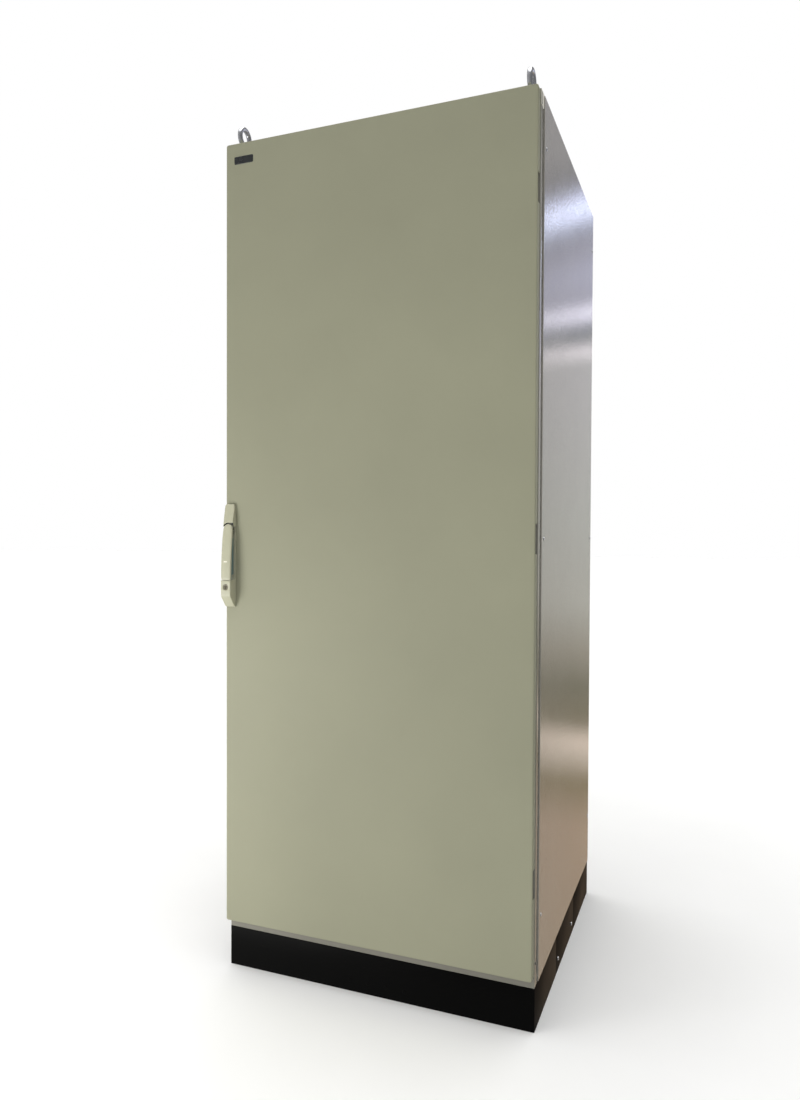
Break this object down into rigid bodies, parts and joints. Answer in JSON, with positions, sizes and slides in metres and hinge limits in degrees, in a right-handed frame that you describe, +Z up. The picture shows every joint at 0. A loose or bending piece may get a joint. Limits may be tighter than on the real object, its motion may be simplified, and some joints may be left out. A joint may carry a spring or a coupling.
{
  "type": "variable frequency drive",
  "caption": "Free-standing sheet-steel cabinet with a hinged front door, swing handle, plinth and lifting eyes, holding a motor drive and its switchgear.",
  "frame": {"origin": "on the floor under the middle of the overall box", "axes": "+X to the right seen from the front, +Y from the door to the back, +Z up"},
  "size_m": [0.8, 0.826, 2.1603],
  "materials": {
    "door_paint": "satin olive-grey powder coat",
    "panel_paint": "glossy textured powder coat",
    "plinth_paint": "glossy black powder coat",
    "handle_plastic": "satin moulded, pebble grey",
    "galvanised_steel": "galvanised spangle",
    "zinc_plate": "bright zinc plate",
    "dark_plastic": "fine-grained moulding",
    "drive_shell": "fine-grained moulding",
    "aluminium": "extruded",
    "copper": "rolled bar",
    "circuit_board": "solder mask",
    "capacitor_can": "sleeved can",
    "core_steel": "varnished laminations",
    "coil_wrap": "varnished tape",
    "foam_seal": "closed-cell foam",
    "start_key": "moulded key",
    "stop_key": "moulded key"
  },
  "bodies": {
    "cabinet": {"bottom_frame": "door_paint", "breaker_case": "dark_plastic", "cable_gland_line": "dark_plastic", "cable_gland_motor": "dark_plastic", "capacitor_bank": "capacitor_can", "control_board": "circuit_board", "drive_chassis": "galvanised_steel", "drive_cover": "drive_shell", "drive_fan_housing": "dark_plastic", "drive_heatsink": "aluminium", "earth_bar": "copper", "eyebolt_front_left": "zinc_plate", "eyebolt_front_right": "zinc_plate", "eyebolt_rear_left": "zinc_plate", "eyebolt_rear_right": "zinc_plate", "gland_plate": "galvanised_steel", "hinge_bracket_lower": "zinc_plate", "hinge_bracket_middle": "zinc_plate", "hinge_bracket_upper": "zinc_plate", "inlet_grille": "dark_plastic", "keypad_case": "dark_plastic", "line_contactor": "dark_plastic", "mounting_plate": "galvanised_steel", "outlet_grille": "dark_plastic", "plinth_front": "plinth_paint", "plinth_rear": "plinth_paint", "plinth_trim_left": "plinth_paint", "plinth_trim_right": "plinth_paint", "post_front_left": "door_paint", "post_front_right": "door_paint", "post_rear_left": "door_paint", "post_rear_right": "door_paint", "power_module": "dark_plastic", "reactor_coil_left": "coil_wrap", "reactor_coil_middle": "coil_wrap", "reactor_coil_right": "coil_wrap", "reactor_core": "core_steel", "rear_panel": "panel_paint", "roof_panel": "panel_paint", "side_panel_left": "panel_paint", "side_panel_right": "panel_paint", "terminal_block": "handle_plastic", "top_frame": "door_paint"},
    "door": {"door_panel": "door_paint", "door_seal": "foam_seal", "door_stiffener": "galvanised_steel", "hinge_leaf_lower": "zinc_plate", "hinge_leaf_middle": "zinc_plate", "hinge_leaf_upper": "zinc_plate", "handle_housing": "handle_plastic", "lock_gearbox": "zinc_plate"},
    "handle_hub": {"handle_hub": "zinc_plate"},
    "handle_lever": {"handle_lever": "handle_plastic"},
    "lock_insert": {"lock_insert": "zinc_plate"},
    "rod_upper": {"locking_rod_upper": "zinc_plate"},
    "rod_lower": {"locking_rod_lower": "zinc_plate"},
    "breaker_toggle": {"breaker_toggle": "handle_plastic"},
    "drive_fan": {"drive_fan_rotor": "dark_plastic"},
    "key_start": {"key_start": "start_key"},
    "key_stop": {"key_stop": "stop_key"}
  },
  "joints": [
    {"name": "door_hinge", "type": "hinge", "parent": "cabinet", "child": "door", "pos_m": [0.39, -0.376, 0.1255], "axis": [0, 0, 1], "range_deg": [0, 130]},
    {"name": "handle_turn", "type": "hinge", "parent": "door", "child": "handle_hub", "pos_m": [-0.3825, -0.396, 1.131], "axis": [0, -1, 0], "range_deg": [0, 90]},
    {"name": "handle_tilt", "type": "hinge", "parent": "handle_hub", "child": "handle_lever", "pos_m": [-0.3825, -0.396, 1.131], "axis": [-1, 0, 0], "range_deg": [0, 30]},
    {"name": "lock_turn", "type": "hinge", "parent": "door", "child": "lock_insert", "pos_m": [-0.3825, -0.387, 0.984], "axis": [0, -1, 0], "range_deg": [0, 90]},
    {"name": "rod_upper_slide", "type": "slide", "parent": "door", "child": "rod_upper", "axis": [0, 0, 1], "range_m": [-0.018, 0]},
    {"name": "rod_lower_slide", "type": "slide", "parent": "door", "child": "rod_lower", "axis": [0, 0, 1], "range_m": [0, 0.018]},
    {"name": "breaker_switch", "type": "hinge", "parent": "cabinet", "child": "breaker_toggle", "pos_m": [0.205, 0.178, 1.818], "axis": [1, 0, 0], "range_deg": [0, 44]},
    {"name": "drive_fan_spin", "type": "hinge", "parent": "cabinet", "child": "drive_fan", "pos_m": [-0.148, 0.178, 0.8815], "axis": [0, 0, 1], "continuous": true},
    {"name": "key_start_press", "type": "slide", "parent": "cabinet", "child": "key_start", "axis": [0, 1, 0], "range_m": [0, 0.0015], "stiffness_N_per_m": 200},
    {"name": "key_stop_press", "type": "slide", "parent": "cabinet", "child": "key_stop", "axis": [0, 1, 0], "range_m": [0, 0.0015], "stiffness_N_per_m": 200}
  ],
  "couplings": [
    {"joint": "rod_upper_slide", "follows": "handle_turn", "m_per_rad": -0.0114},
    {"joint": "rod_lower_slide", "follows": "handle_turn", "m_per_rad": 0.0114}
  ]
}
